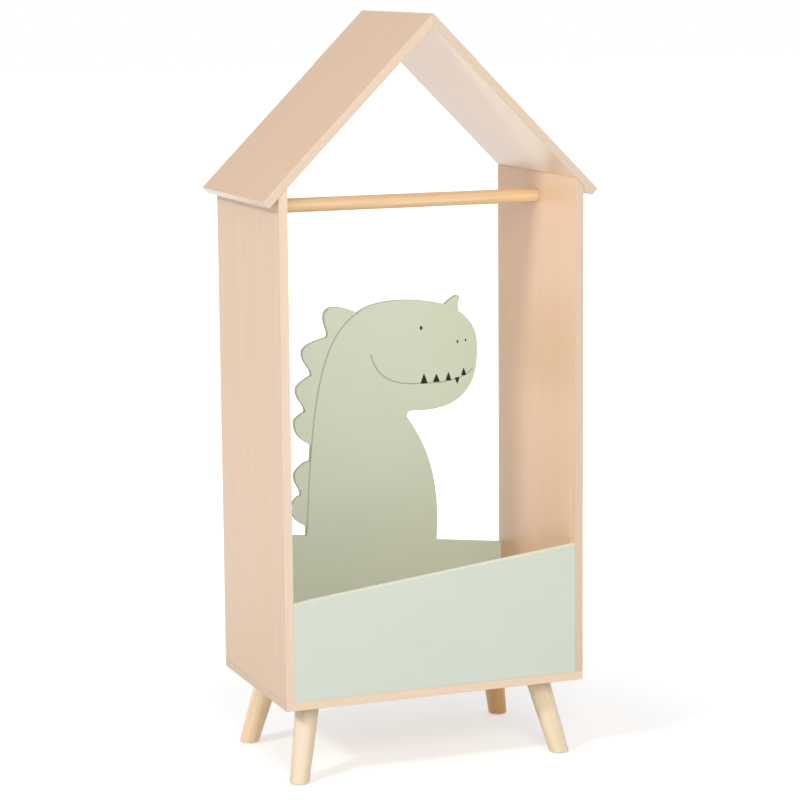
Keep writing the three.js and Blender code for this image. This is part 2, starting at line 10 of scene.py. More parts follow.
import bpy
from mathutils import Matrix, Vector


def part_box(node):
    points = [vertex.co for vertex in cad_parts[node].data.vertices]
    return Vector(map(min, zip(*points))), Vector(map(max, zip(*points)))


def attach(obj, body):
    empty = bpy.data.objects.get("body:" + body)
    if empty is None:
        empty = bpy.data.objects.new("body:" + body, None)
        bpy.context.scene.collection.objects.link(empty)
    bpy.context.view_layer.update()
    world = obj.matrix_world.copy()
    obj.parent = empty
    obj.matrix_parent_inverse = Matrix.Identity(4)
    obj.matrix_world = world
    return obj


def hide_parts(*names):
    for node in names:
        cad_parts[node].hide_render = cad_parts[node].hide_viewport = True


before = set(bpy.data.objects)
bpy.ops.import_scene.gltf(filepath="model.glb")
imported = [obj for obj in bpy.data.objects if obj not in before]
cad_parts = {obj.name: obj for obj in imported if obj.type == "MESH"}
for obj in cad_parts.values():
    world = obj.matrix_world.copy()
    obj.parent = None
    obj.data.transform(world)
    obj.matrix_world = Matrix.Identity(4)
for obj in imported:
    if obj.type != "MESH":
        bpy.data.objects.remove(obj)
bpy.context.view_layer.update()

MM = 0.001

# The photograph's camera, solved from the corners of the boards
CAMERA_TARGET = Vector((0.18, 0, 626.7)) * MM
CAMERA_DISTANCE = 4819.3 * MM
CAMERA_AZIMUTH = math.radians(-21.26)
CAMERA_ELEVATION = math.radians(9.158)
CAMERA_ROLL = math.radians(-0.498)
# the camera takes these two in millimetres as they are
CAMERA_SENSOR = 36.0
CAMERA_LENS = 123.9

# Sizes that the frame doesn't give
BOARD_EASE = 0.5 * MM
FLOOR_EASE = 0.9 * MM
LACQUER_EASE = 0.7 * MM
CUTOUT_EASE = 0.5 * MM
LEG_FOOT_EASE = 1.0 * MM
LEG_TOP_EASE = 0.4 * MM
RAIL_END_EASE = 1.0 * MM
HOLE_GAP = 0.3 * MM
CUT_OVERRUN = 1.0 * MM

# Sides of what is round, and how near two points or levels count as one
ROUND_SIDES = 96
FITTING_SIDES = 64
SCREW_SIDES = 48
HOLE_SIDES = 40
SMALL_SIDES = 32
NAIL_SIDES = 24
SAME_POINT = 0.002 * MM
SAME_LEVEL = 0.01 * MM

CORNERS = ("front_left", "back_left", "front_right", "back_right")
SIDES = ("left", "right")
LEVELS = ("low", "high")


# Hand tools: what a modeller does with the mouse

def deselect():
    """Leaves nothing selected, so that the next operator acts on the new piece alone."""
    bpy.ops.object.select_all(action="DESELECT")


def pick(piece):
    """Makes one piece the selected and active one."""
    deselect()
    piece.select_set(True)
    bpy.context.view_layer.objects.active = piece


def edit(piece):
    """Opens a piece in edit mode with all of it selected."""
    pick(piece)
    bpy.ops.object.mode_set(mode="EDIT")
    bpy.ops.mesh.select_all(action="SELECT")


def close_edit():
    """Goes back to object mode."""
    bpy.ops.object.mode_set(mode="OBJECT")


def settle(piece):
    """Writes a piece's place, turn and size into its mesh."""
    pick(piece)
    bpy.ops.object.transform_apply(location=True, rotation=True, scale=True)


def apply_modifier(piece, modifier):
    """Writes a modifier's result into the mesh."""
    pick(piece)
    bpy.ops.object.modifier_apply(modifier=modifier.name)


def block(name, centre, size, turn=0):
    """A cuboid at its size and place, turned about Y."""
    deselect()
    bpy.ops.mesh.primitive_cube_add(size=1, location=centre, rotation=(0, turn, 0), scale=size)
    piece = bpy.context.object
    piece.name = name
    settle(piece)
    return piece


def rod(name, centre, radius, length, direction, sides):
    """A cylinder about a direction."""
    deselect()
    turn = Vector(direction).to_track_quat("Z", "Y").to_euler()
    bpy.ops.mesh.primitive_cylinder_add(
        vertices=sides, radius=radius, depth=length, location=centre, rotation=turn)
    piece = bpy.context.object
    piece.name = name
    settle(piece)
    return piece


def lathe(name, profile, sides=HOLE_SIDES):
    """A turned piece about Z.

    Its half section is drawn as (radius, height) pairs that run up from axis to axis, then spun.
    """
    deselect()
    bpy.ops.mesh.primitive_plane_add(size=1)
    piece = bpy.context.object
    piece.name = name
    edit(piece)
    bpy.ops.mesh.merge(type="CENTER")
    radius, height = profile[0]
    bpy.ops.transform.translate(value=(radius, 0, height))
    for next_radius, next_height in profile[1:]:
        step = (next_radius - radius, 0, next_height - height)
        bpy.ops.mesh.extrude_vertices_move(TRANSFORM_OT_translate={"value": step})
        radius, height = next_radius, next_height
    bpy.ops.mesh.select_all(action="SELECT")
    bpy.ops.mesh.spin(steps=sides, angle=2 * math.pi, center=(0, 0, 0), axis=(0, 0, 1))
    bpy.ops.mesh.select_all(action="SELECT")
    bpy.ops.mesh.remove_doubles(threshold=SAME_POINT)
    bpy.ops.mesh.normals_make_consistent(inside=False)
    close_edit()
    return piece


def put(piece, at, turn=(0, 0, 0)):
    """Moves a piece from the origin to its place."""
    piece.location = at
    piece.rotation_euler = turn
    settle(piece)
    return piece


def copy_of(piece, name):
    """A copy with its own mesh."""
    double = piece.copy()
    double.data = piece.data.copy()
    double.name = name
    bpy.context.scene.collection.objects.link(double)
    return double


def saw(piece, point, normal):
    """Cuts off what lies past a plane, on the side that its normal points to."""
    edit(piece)
    bpy.ops.mesh.bisect(plane_co=point, plane_no=normal, use_fill=True, clear_outer=True)
    close_edit()


def ease(piece, width, segments=3, sharper_than=30, clamp=True):
    """Rounds every edge that is sharper than an angle."""
    bevel = piece.modifiers.new("eased_edges", "BEVEL")
    bevel.width = width
    bevel.segments = segments
    bevel.limit_method = "ANGLE"
    bevel.angle_limit = math.radians(sharper_than)
    bevel.use_clamp_overlap = clamp
    apply_modifier(piece, bevel)


def cut_out(piece, cutters):
    """Takes cutters that don't touch each other out of a piece, and deletes them."""
    pick(cutters[0])
    for cutter in cutters:
        cutter.select_set(True)
    if len(cutters) > 1:
        bpy.ops.object.join()
    tool = bpy.context.view_layer.objects.active
    boolean = piece.modifiers.new("cut_out", "BOOLEAN")
    boolean.operation = "DIFFERENCE"
    boolean.solver = "EXACT"
    boolean.object = tool
    apply_modifier(piece, boolean)
    bpy.data.objects.remove(tool)


def smooth_below(piece, angle):
    """Smooth shading over the shallow edges only."""
    pick(piece)
    bpy.ops.object.shade_smooth_by_angle(angle=math.radians(angle))


# Where the frame has things

def middle(node):
    """The middle of a node's box."""
    low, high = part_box(node)
    return (low + high) / 2


def extent(node):
    """A node's box: how wide, deep and high it is."""
    low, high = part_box(node)
    return high - low


def pin_hole(node, sides=HOLE_SIDES):
    """The drilled hole for a straight pin, as a cutter: its longest side is its axis."""
    size = extent(node)
    axis = max(range(3), key=lambda k: size[k])
    direction = [0, 0, 0]
    direction[axis] = 1
    radius = min(size) / 2 + HOLE_GAP
    length = size[axis] + 2 * HOLE_GAP
    return rod("cutter", middle(node), radius, length, direction, sides)


def corner_names(stem):
    """The four copies of a fitting, one at each corner."""
    return [f"{stem}_{corner}" for corner in CORNERS]


def names_on(side, stem):
    """The front and back copies of a fixing on one side."""
    return [f"{stem}_{row}_{side}" for row in ("front", "back")]


# Screws: the sizes of their half sections, in millimetres from the head's face

SCREWS = {
    "base_screw": {"head": 10, "shank": 7, "core": 5, "head_end": 3.5, "shank_end": 13, "length": 50},
    "leg_bolt": {"head": 12, "shank": 6, "core": 6, "head_end": 3.5, "shank_end": 20, "length": 33},
}
SHANK_CONE = 1
SCREW_TIP = 1.2
SCREW_POINT = 3
HEAD_RIM = 0.35
SOCKET_ACROSS = 4.0
SOCKET_DEPTH = 2.5
THREAD_PITCH = {"base_screw": 3.0, "leg_bolt": 1.0}
THREAD_DEPTH = {"base_screw": 0.9, "leg_bolt": 0.3}


def screw_hole_profile(screw):
    """The countersunk hole for a screw, from its mouth up."""
    gap = HOLE_GAP / MM
    overrun = CUT_OVERRUN / MM
    head = screw["head"] / 2 + gap
    shank = screw["shank"] / 2 + gap
    core = screw["core"] / 2 + gap
    end = screw["length"] + gap
    step = screw["shank_end"]
    mouth = [(0, -overrun), (head, -overrun), (head, 0), (shank, screw["head_end"])]
    bore = [(shank, step), (core, step + SHANK_CONE), (core, end), (0, end)]
    return [(radius * MM, height * MM) for radius, height in mouth + bore]


def screw_profile(kind):
    """A countersunk screw from its head up, with its thread as rounds of the real pitch."""
    screw = SCREWS[kind]
    head = screw["head"] / 2
    shank = screw["shank"] / 2
    core = screw["core"] / 2
    length = screw["length"]
    pitch = THREAD_PITCH[kind]
    depth = THREAD_DEPTH[kind]
    profile = [(0, 0), (head - HEAD_RIM, 0), (head, HEAD_RIM), (head, 2 * HEAD_RIM)]
    profile += [(shank, screw["head_end"]), (shank, screw["shank_end"])]
    height = screw["shank_end"] + SHANK_CONE
    while height + pitch < length - SCREW_POINT:
        profile += [(core - depth, height), (core, height + pitch / 2)]
        height += pitch
    profile += [(core - depth, length - SCREW_POINT), (SCREW_TIP, length), (0, length)]
    return [(radius * MM, up * MM) for radius, up in profile]


def screw_place(node):
    """A screw's head in the middle of its mouth, and the turn that points it the right way."""
    low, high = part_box(node)
    centre = middle(node)
    if node.startswith("leg_bolt"):
        return Vector((centre.x, centre.y, high.z)), (math.pi, 0, 0)
    return Vector((centre.x, centre.y, low.z)), (0, 0, 0)


def screw_hole(node):
    """A screw's hole at its place, as a cutter."""
    kind = node.rsplit("_", 2)[0]
    at, turn = screw_place(node)
    return put(lathe("cutter", screw_hole_profile(SCREWS[kind])), at, turn)


# Colours and nodes

def linear(hex_colour):
    """An sRGB colour such as E7CCB2 in the linear values that shaders work in."""
    channels = [int(hex_colour[i:i + 2], 16) / 255 for i in (0, 2, 4)]
    values = [c / 12.92 if c <= 0.04045 else ((c + 0.055) / 1.055) ** 2.4 for c in channels]
    return (*values, 1.0)


def socket(sockets, name):
    """A socket by its identifier or its name."""
    for found in sockets:
        if name in (found.identifier, found.name):
            return found
    raise KeyError(name)


def add_node(tree, kind, settings=None, links=None):
    """Adds a node, sets its sockets and properties, and links its inputs to other nodes' outputs."""
    node = tree.nodes.new("ShaderNode" + kind)
    named = {found.name for found in node.inputs} | {found.identifier for found in node.inputs}
    for name, value in (settings or {}).items():
        if name in named:
            socket(node.inputs, name).default_value = value
        else:
            setattr(node, name, value)
    for name, (source, output) in (links or {}).items():
        tree.links.new(socket(source.outputs, output), socket(node.inputs, name))
    return node


def new_material(name):
    """A material with an empty node tree."""
    material = bpy.data.materials.new(name)
    material.use_nodes = True
    material.node_tree.nodes.clear()
    return material, material.node_tree


def finish_surface(tree, settings, links):
    """The surface shader, with its constants on its own sockets, and the material's output."""
    shader = add_node(tree, "BsdfPrincipled", settings, links)
    add_node(tree, "OutputMaterial", links={"Surface": (shader, "BSDF")})


def pattern(tree, size, turn=(0, 0, 0), shift=(0, 0, 0), detail=2.0, roughness=0.5):
    """Noise whose patches have a real size along, across and through a turned direction."""
    place = add_node(tree, "TexCoord")
    scaled = add_node(
        tree, "Mapping",
        {"vector_type": "TEXTURE", "Location": shift, "Rotation": turn, "Scale": size},
        {"Vector": (place, "Object")})
    return add_node(
        tree, "TexNoise",
        {"Scale": 1.0, "Detail": detail, "Roughness": roughness},
        {"Vector": (scaled, "Vector")})


def tinted(tree, ground, tint, noise, low, high, most=1.0):
    """A ground that takes on up to a share of a tint where a noise rises from low to high.

    The ground is a hex colour or what this function gave before, and the tint is a hex colour.
    """
    share = add_node(
        tree, "MapRange", {"From Min": low, "From Max": high, "To Max": most}, {"Value": (noise, "Fac")})
    settings = {"data_type": "RGBA", "B_Color": linear(tint)}
    links = {"Factor_Float": (share, "Result")}
    if isinstance(ground, str):
        settings["A_Color"] = linear(ground)
    else:
        links["A_Color"] = (ground, "Result_Color")
    return add_node(tree, "Mix", settings, links)


# Materials

# Light and deep tones of the foils and the edge bands, set board by board and face by face to the light
# that each gets, so that they hold
# painted light and shade: the roof's underside is much paler than its outside (painted light from the white
# floor and its sheen), the right panel's inside is paler than the left panel's outside (painted light), and
# the right-hand bands and the floor board's end bands are darker (painted shade)
FOIL_TONES_WITH_PAINTED_LIGHT = {
    "left_side": ("E3C5A5", "DCBA99"),
    "right_side": ("F6D3B2", "EFC8A6"),
    "roof_outside": ("E3C2A4", "DFBC9D"),
    "roof_underside_painted_light": ("FBE5CE", "F7DEC4"),
    "floor": ("E8CDB0", "E1C2A3"),
}
BAND_TONES_WITH_PAINTED_SHADE = {
    "left_side": ("E8D2BC", "E0C7AE"),
    "right_side": ("DDC5AD", "D7BB9E"),
    "left_roof": ("E2CAB4", "DBBFA6"),
    "right_roof": ("DEC8B3", "D7BDA5"),
    "floor": ("EDD4BA", "E5C9AB"),
    "floor_end_painted_shade": ("DCBFA1", "D5B595"),
}
FLECK = "CDA680"
FOIL_ROUGHNESS = 0.38
SMOOTH_FOIL_ROUGHNESS = 0.24


def beech_foil(name, turn, shift, light, deep, roughness=FOIL_ROUGHNESS):
    """Melamine foil with a printed beech decor on chipboard.

    Seen close it has long soft streaks and short ray flecks along the grain, and a matt sheen;
    from a step away it is an even pale pink-beige. The shift says where in the print a board was cut.
    """
    material, tree = new_material(name)
    broad = pattern(tree, (900 * MM, 34 * MM, 34 * MM), turn, shift, detail=2)
    fine = pattern(tree, (220 * MM, 3.2 * MM, 3.2 * MM), turn, shift, detail=3, roughness=0.6)
    # real flecks are 0.3 mm wide: drawn wider, so that they show
    flecks = pattern(tree, (3.2 * MM, 0.7 * MM, 0.7 * MM), turn, shift, detail=1)
    ground = tinted(tree, light, deep, broad, low=0.32, high=0.68, most=0.5)
    streaked = tinted(tree, ground, deep, fine, low=0.3, high=0.7, most=0.4)
    flecked = tinted(tree, streaked, FLECK, flecks, low=0.62, high=0.74, most=0.3)
    relief = add_node(tree, "Bump", {"Strength": 0.12, "Distance": 0.05 * MM}, {"Height": (flecks, "Fac")})
    finish_surface(
        tree, {"Roughness": roughness, "IOR": 1.5},
        {"Base Color": (flecked, "Result_Color"), "Normal": (relief, "Normal")})
    return material


def satin_lacquer(name, colour, worn):
    """Satin lacquer sprayed on MDF: an even pastel with a faint cloudiness and a fine spray texture."""
    material, tree = new_material(name)
    clouds = pattern(tree, (120 * MM, 120 * MM, 120 * MM), detail=2)
    clouded = tinted(tree, colour, worn, clouds, low=0.3, high=0.7, most=0.35)
    # spray texture is 0.3 mm apart: drawn at 1.2 mm
    spray = pattern(tree, (1.2 * MM, 1.2 * MM, 1.2 * MM), detail=1)
    relief = add_node(tree, "Bump", {"Strength": 0.08, "Distance": 0.03 * MM}, {"Height": (spray, "Fac")})
    finish_surface(
        tree, {"Roughness": 0.5, "IOR": 1.5},
        {"Base Color": (clouded, "Result_Color"), "Normal": (relief, "Normal")})
    return material


def lacquered_cut_edge(name):
    """The sawn edge of MDF under thin lacquer.

    The sage sinks in, so brown fibre shows through, matt and rough.
    """
    material, tree = new_material(name)
    fibres = pattern(tree, (6 * MM, 0.8 * MM, 6 * MM), detail=4, roughness=0.7)
    fibred = tinted(tree, "E5EBD2", "CFCFB0", fibres, low=0.35, high=0.65)
    relief = add_node(tree, "Bump", {"Strength": 0.4, "Distance": 0.15 * MM}, {"Height": (fibres, "Fac")})
    finish_surface(
        tree, {"Roughness": 0.8, "IOR": 1.45},
        {"Base Color": (fibred, "Result_Color"), "Normal": (relief, "Normal")})
    return material


# Growth rings: how far apart they are, how many such gaps they drift, and the length of a texture's wave
# in its own unit
RING_SPACING = 6.5 * MM
RING_DRIFT = 2.2
WAVE_LENGTH = 0.314


def pine(name, axis, early, late, shift):
    """Planed and clear-lacquered pine: pale early wood with amber late-wood lines along the grain.

    The lines are growth rings cut lengthwise, so they run along the axis and drift slowly across it.
    """
    material, tree = new_material(name)
    turn = Vector(axis).to_track_quat("X", "Z").to_euler()
    place = add_node(tree, "TexCoord")
    drift = pattern(tree, (260 * MM, 18 * MM, 18 * MM), turn, shift, detail=1)
    drift_vector = add_node(
        tree, "VectorMath", {"operation": "SCALE", "Scale": RING_DRIFT * RING_SPACING},
        {"Vector": (drift, "Color")})
    drifted = add_node(
        tree, "VectorMath", {"operation": "ADD"},
        {"Vector": (place, "Object"), "Vector_001": (drift_vector, "Vector")})
    ring_size = (1, RING_SPACING, RING_SPACING)
    along = add_node(
        tree, "Mapping",
        {"vector_type": "TEXTURE", "Location": shift, "Rotation": turn, "Scale": ring_size},
        {"Vector": (drifted, "Vector")})
    rings = add_node(
        tree, "TexWave",
        {"wave_type": "BANDS", "bands_direction": "Z", "wave_profile": "SAW", "Scale": WAVE_LENGTH,
         "Distortion": 2.2, "Detail": 2.0, "Detail Scale": 0.3},
        {"Vector": (along, "Vector")})
    ring_share = add_node(
        tree, "MapRange",
        {"interpolation_type": "SMOOTHSTEP", "From Min": 0.35, "From Max": 1.0, "To Max": 0.35},
        {"Value": (rings, "Fac")})
    ringed = add_node(
        tree, "Mix",
        {"data_type": "RGBA", "A_Color": linear(early), "B_Color": linear(late)},
        {"Factor_Float": (ring_share, "Result")})
    # heartwood side of the plank: broad amber patches that run with the grain
    patches = pattern(tree, (170 * MM, 9 * MM, 9 * MM), turn, shift, detail=2)
    patched = tinted(tree, ringed, late, patches, low=0.4, high=0.65, most=0.4)
    fibres = pattern(tree, (60 * MM, 0.7 * MM, 0.7 * MM), turn, shift, detail=3, roughness=0.7)
    fibred = tinted(tree, patched, late, fibres, low=0.35, high=0.7, most=0.2)
    relief = add_node(tree, "Bump", {"Strength": 0.15, "Distance": 0.05 * MM}, {"Height": (fibres, "Fac")})
    finish_surface(
        tree, {"Roughness": 0.42, "IOR": 1.5, "Coat Weight": 0.15, "Coat Roughness": 0.3},
        {"Base Color": (fibred, "Result_Color"), "Normal": (relief, "Normal")})
    return material


def zinc_plate(name):
    """Zinc-plated steel: a cool bright grey with a soft blur and faint cloudy passivation."""
    material, tree = new_material(name)
    clouds = pattern(tree, (3 * MM, 3 * MM, 3 * MM), detail=3)
    clouded = tinted(tree, "C9CCD0", "B4B6B4", clouds, low=0.3, high=0.7)
    blur = add_node(tree, "MapRange", {"To Min": 0.28, "To Max": 0.42}, {"Value": (clouds, "Fac")})
    finish_surface(
        tree, {"Metallic": 1.0},
        {"Base Color": (clouded, "Result_Color"), "Roughness": (blur, "Result")})
    return material


def moulded_nylon(name):
    """Injection-moulded nylon: milky white, satin, with a fine eroded mould texture."""
    material, tree = new_material(name)
    grain = pattern(tree, (0.8 * MM, 0.8 * MM, 0.8 * MM), detail=2)
    grained = tinted(tree, "E9E6DF", "E2DFD6", grain, low=0.3, high=0.7)
    relief = add_node(tree, "Bump", {"Strength": 0.2, "Distance": 0.03 * MM}, {"Height": (grain, "Fac")})
    finish_surface(
        tree, {"Roughness": 0.5, "IOR": 1.53, "Subsurface Weight": 0.1, "Subsurface Scale": 2 * MM},
        {"Base Color": (grained, "Result_Color"), "Normal": (relief, "Normal")})
    return material


def screen_ink(name, colour, thin):
    """Screen-printed ink: flat and matt, a little thinner here and there."""
    material, tree = new_material(name)
    cover = pattern(tree, (1.5 * MM, 1.5 * MM, 1.5 * MM), detail=3)
    printed = tinted(tree, colour, thin, cover, low=0.4, high=0.7, most=0.4)
    finish_surface(
        tree, {"Roughness": 0.7, "IOR": 1.48, "Specular IOR Level": 0.25},
        {"Base Color": (printed, "Result_Color")})
    return material


def beech_dowel(name):
    """Fluted beech dowel: raw, matt, pinkish brown."""
    material, tree = new_material(name)
    grain = pattern(tree, (4 * MM, 0.8 * MM, 0.8 * MM), detail=3)
    grained = tinted(tree, "D8B98C", "C49F70", grain, low=0.3, high=0.7)
    finish_surface(tree, {"Roughness": 0.7, "IOR": 1.45}, {"Base Color": (grained, "Result_Color")})
    return material


# Which way a board's grain runs
UPRIGHT = (0, math.pi / 2, 0)
LEVEL = (0, 0, 0)
UP_TO_RIGHT = (0, -math.pi / 4, 0)
DOWN_TO_RIGHT = (0, math.pi / 4, 0)

mint_lacquer = satin_lacquer("mint_lacquer", "D2D9CB", "CDD5C6")
# the paler mint for the front board's up-facing top edge is a painted highlight
mint_highlit_top_edge = satin_lacquer("mint_lacquer_painted_highlight", "F2F7E8", "EEF2E0")
sage_lacquer = satin_lacquer("sage_lacquer", "DAE9D6", "D6E3CF")
fibreboard_edge = lacquered_cut_edge("lacquered_fibreboard_edge")
dark_green_ink = screen_ink("dark_green_ink", "14361E", "1E4228")
grey_green_ink = screen_ink("grey_green_ink", "AFBFA5", "B6C5AB")
zinc = zinc_plate("zinc_plated_steel")
nylon = moulded_nylon("moulded_nylon")
dowel_beech = beech_dowel("beech_dowel")


# Finishing a piece

# How much of a face's normal, of 1, points a way
MOSTLY = 0.5
SQUARELY = 0.99


def stand_for(piece, slot, node, *materials):
    """Gives a finished piece its materials, and puts it in place of its node."""
    for material in materials:
        piece.data.materials.append(material)
    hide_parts(node)
    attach(piece, "root")


def paint_faces(piece, material, chosen):
    """Gives one of a piece's materials to the faces that a test on their normal and centre picks."""
    index = piece.data.materials.find(material.name)
    for face in piece.data.polygons:
        if chosen(face.normal, face.center):
            face.material_index = index


# Boards

def side_board(side):
    """A side panel: bevelled to the roof, banded on its front and back edges."""
    node = f"{side}_side_panel"
    sign = -1 if side == "left" else 1
    low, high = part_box(node)
    inner_x = sign * min(abs(low.x), abs(high.x))
    piece = block(f"{side}_side_board", middle(node), extent(node))
    roof_normal = Vector((sign, 0, 1)).normalized()
    saw(piece, (inner_x, 0, high.z), roof_normal)
    ease(piece, BOARD_EASE)
    pins = names_on(side, "base_dowel") + names_on(side, "roof_dowel")
    pins += [f"{board}_dowel_{side}_{level}" for board in ("front", "back") for level in LEVELS]
    pins += [f"{board}_cam_bolt_{side}" for board in ("front", "back")]
    cutters = [pin_hole(pin) for pin in pins]
    cutters.append(pin_hole("hanging_rail", ROUND_SIDES))
    cutters += [screw_hole(screw) for screw in names_on(side, "base_screw")]
    cut_out(piece, cutters)
    grain_shift = (0, sign * 0.31, 0)
    # face and band tones differ left and right with the light each side gets: the right panel's paler
    # inside is painted light, its darker front band painted shade
    face = beech_foil(f"beech_foil_{node}", UPRIGHT, grain_shift, *FOIL_TONES_WITH_PAINTED_LIGHT[f"{side}_side"])
    band = beech_foil(f"beech_edge_band_{node}", UPRIGHT, grain_shift, *BAND_TONES_WITH_PAINTED_SHADE[f"{side}_side"])
    stand_for(piece, "beech_board", node, face, band)
    edge_y = abs(low.y) - BOARD_EASE
    paint_faces(piece, band, lambda normal, centre: abs(centre.y) > edge_y)


def roof_board(side):
    """A roof slab: made longer past the ridge and mitred there, cut square and banded at the eave."""
    node = f"{side}_roof_slab"
    sign = -1 if side == "left" else 1
    low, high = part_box(node)
    depth = high.y - low.y
    reach = max(abs(low.x), abs(high.x))
    eave_top = Vector((sign * reach, 0, high.z - reach))
    thickness = (eave_top.z - low.z) * math.sqrt(2)
    length = reach * math.sqrt(2)
    ridge_top = Vector((0, 0, high.z))
    inwards = Vector((-sign, 0, -1)).normalized()
    along = (ridge_top - eave_top).normalized()
    spare = thickness
    centre = (eave_top + ridge_top) / 2 + inwards * thickness / 2 + along * spare / 2
    size = (length + spare, depth, thickness)
    piece = block(f"{side}_roof_board", centre, size, sign * math.pi / 4)
    saw(piece, (0, 0, 0), (-sign, 0, 0))
    ease(piece, BOARD_EASE)
    ridge_pins = [f"ridge_dowel_{place}" for place in ("front", "middle", "back")]
    cut_out(piece, [pin_hole(pin) for pin in names_on(side, "roof_dowel") + ridge_pins])
    turn = UP_TO_RIGHT if side == "left" else DOWN_TO_RIGHT
    grain_shift = (sign * 0.2, 0.1, 0.5)
    # the outside's foil and each slope's band are toned to the light they get: painted light and shade, the
    # right slope's band darker
    outside = beech_foil(f"beech_foil_{node}", turn, grain_shift, *FOIL_TONES_WITH_PAINTED_LIGHT["roof_outside"])
    band = beech_foil(
        f"beech_edge_band_{node}", turn, grain_shift, *BAND_TONES_WITH_PAINTED_SHADE[f"{side}_roof"], SMOOTH_FOIL_ROUGHNESS)
    # the underside's much paler foil is painted light: the white floor's light and the sheen seen on it
    light, deep = FOIL_TONES_WITH_PAINTED_LIGHT["roof_underside_painted_light"]
    underside = beech_foil(
        f"beech_foil_painted_light_under_{node}", turn, grain_shift, light, deep, SMOOTH_FOIL_ROUGHNESS)
    stand_for(piece, "beech_board", node, outside, band, underside)
    edge_y = depth / 2 - BOARD_EASE
    eave = -along.dot(eave_top) - BOARD_EASE
    paint_faces(piece, band, lambda normal, centre: abs(centre.y) > edge_y or -along.dot(centre) > eave)
    paint_faces(piece, underside, lambda normal, centre: normal.dot(inwards) > SQUARELY)


def floor_board():
    """The base board: banded all round, bored for the leg bolts from above and the screws from below."""
    node = "base_board"
    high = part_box(node)[1]
    piece = block("floor_board", middle(node), extent(node))
    ease(piece, FLOOR_EASE)
    cutters = [pin_hole(pin) for pin in corner_names("base_dowel") + corner_names("leg_dowel")]
    cutters += [screw_hole(screw) for screw in corner_names("base_screw") + corner_names("leg_bolt")]
    cut_out(piece, cutters)
    grain_shift = (0.1, 0.7, 0.3)
    face = beech_foil("beech_foil_floor", LEVEL, grain_shift, *FOIL_TONES_WITH_PAINTED_LIGHT["floor"])
    band = beech_foil("beech_edge_band_floor", LEVEL, grain_shift, *BAND_TONES_WITH_PAINTED_SHADE["floor"])
    # the end bands' darker tone is painted shade on the floor board's ends
    shaded_end_band = beech_foil("beech_edge_band_floor_end", LEVEL, grain_shift, *BAND_TONES_WITH_PAINTED_SHADE["floor_end_painted_shade"])
    stand_for(piece, "beech_board", node, face, band, shaded_end_band)
    edge_x = high.x - FLOOR_EASE
    edge_y = high.y - FLOOR_EASE
    paint_faces(piece, band, lambda normal, centre: abs(centre.y) > edge_y)
    paint_faces(piece, shaded_end_band, lambda normal, centre: abs(centre.x) > edge_x)


def cam_bore(node):
    """The flat-bottomed bore that a cam sits in, open to the back."""
    low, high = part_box(node)
    depth = high.y - low.y + HOLE_GAP + CUT_OVERRUN
    radius = (high.x - low.x) / 2 + HOLE_GAP
    centre = middle(node)
    centre.y = high.y + CUT_OVERRUN - depth / 2
    return rod("cutter", centre, radius, depth, (0, 1, 0), HOLE_SIDES)


def bolt_bore(node):
    """The bore from a board's end to the cam in it."""
    low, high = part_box(node)
    radius = (high.z - low.z) / 2 + HOLE_GAP
    return rod("cutter", middle(node), radius, high.x - low.x, (1, 0, 0), HOLE_SIDES)


def bore_box_board(piece, board):
    """Bores the front or the back board: last for the cam bolts, whose bores run into the cams'."""
    cutters = [pin_hole(f"{board}_dowel_{side}_{level}") for side in SIDES for level in LEVELS]
    cutters += [cam_bore(f"{board}_cam_{side}") for side in SIDES]
    cut_out(piece, cutters)
    cut_out(piece, [bolt_bore(f"{board}_cam_bolt_{side}") for side in SIDES])


def mint_board():
    """The front board: lacquered, with a paler lacquer on its sloping top edge that paints the light
    falling on it from above.
    """
    node = "front_board"
    low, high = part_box(node)
    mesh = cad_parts[node].data
    left_top = max(v.co.z for v in mesh.vertices if v.co.x < low.x + MM)
    piece = block("mint_front_board", middle(node), extent(node))
    slope = Vector((high.x - low.x, 0, high.z - left_top)).normalized()
    saw(piece, (low.x, 0, left_top), (-slope.z, 0, slope.x))
    ease(piece, LACQUER_EASE)
    bore_box_board(piece, "front")
    stand_for(piece, "mint_board", node, mint_lacquer, mint_highlit_top_edge)
    # painted highlight: the up-facing top edge gets the paler mint
    paint_faces(piece, mint_highlit_top_edge, lambda normal, centre: normal.z > MOSTLY and abs(normal.y) < MOSTLY)


# Dinosaur panel

OUTLINE_STEPS = 4
CORNER_ANGLE = math.radians(23)
FLAT_ANGLE = math.radians(1)


def front_outline(node, name):
    """The edge of a panel's front face as a closed curve, a point for each corner of its facets."""
    piece = bpy.data.objects.new(name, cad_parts[node].data.copy())
    bpy.context.scene.collection.objects.link(piece)
    front_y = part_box(node)[0].y
    edit(piece)
    bpy.ops.mesh.remove_doubles(threshold=SAME_POINT)
    bpy.ops.mesh.select_all(action="DESELECT")
    close_edit()
    for vertex in piece.data.vertices:
        vertex.select = vertex.co.y > front_y + SAME_LEVEL
    bpy.ops.object.mode_set(mode="EDIT")
    bpy.ops.mesh.delete(type="VERT")
    bpy.ops.mesh.select_all(action="SELECT")
    bpy.ops.mesh.dissolve_limited(angle_limit=FLAT_ANGLE)
    bpy.ops.mesh.select_all(action="SELECT")
    bpy.ops.mesh.delete(type="ONLY_FACE")
    close_edit()
    piece.data.materials.clear()
    bpy.ops.object.convert(target="CURVE")
    return bpy.context.object


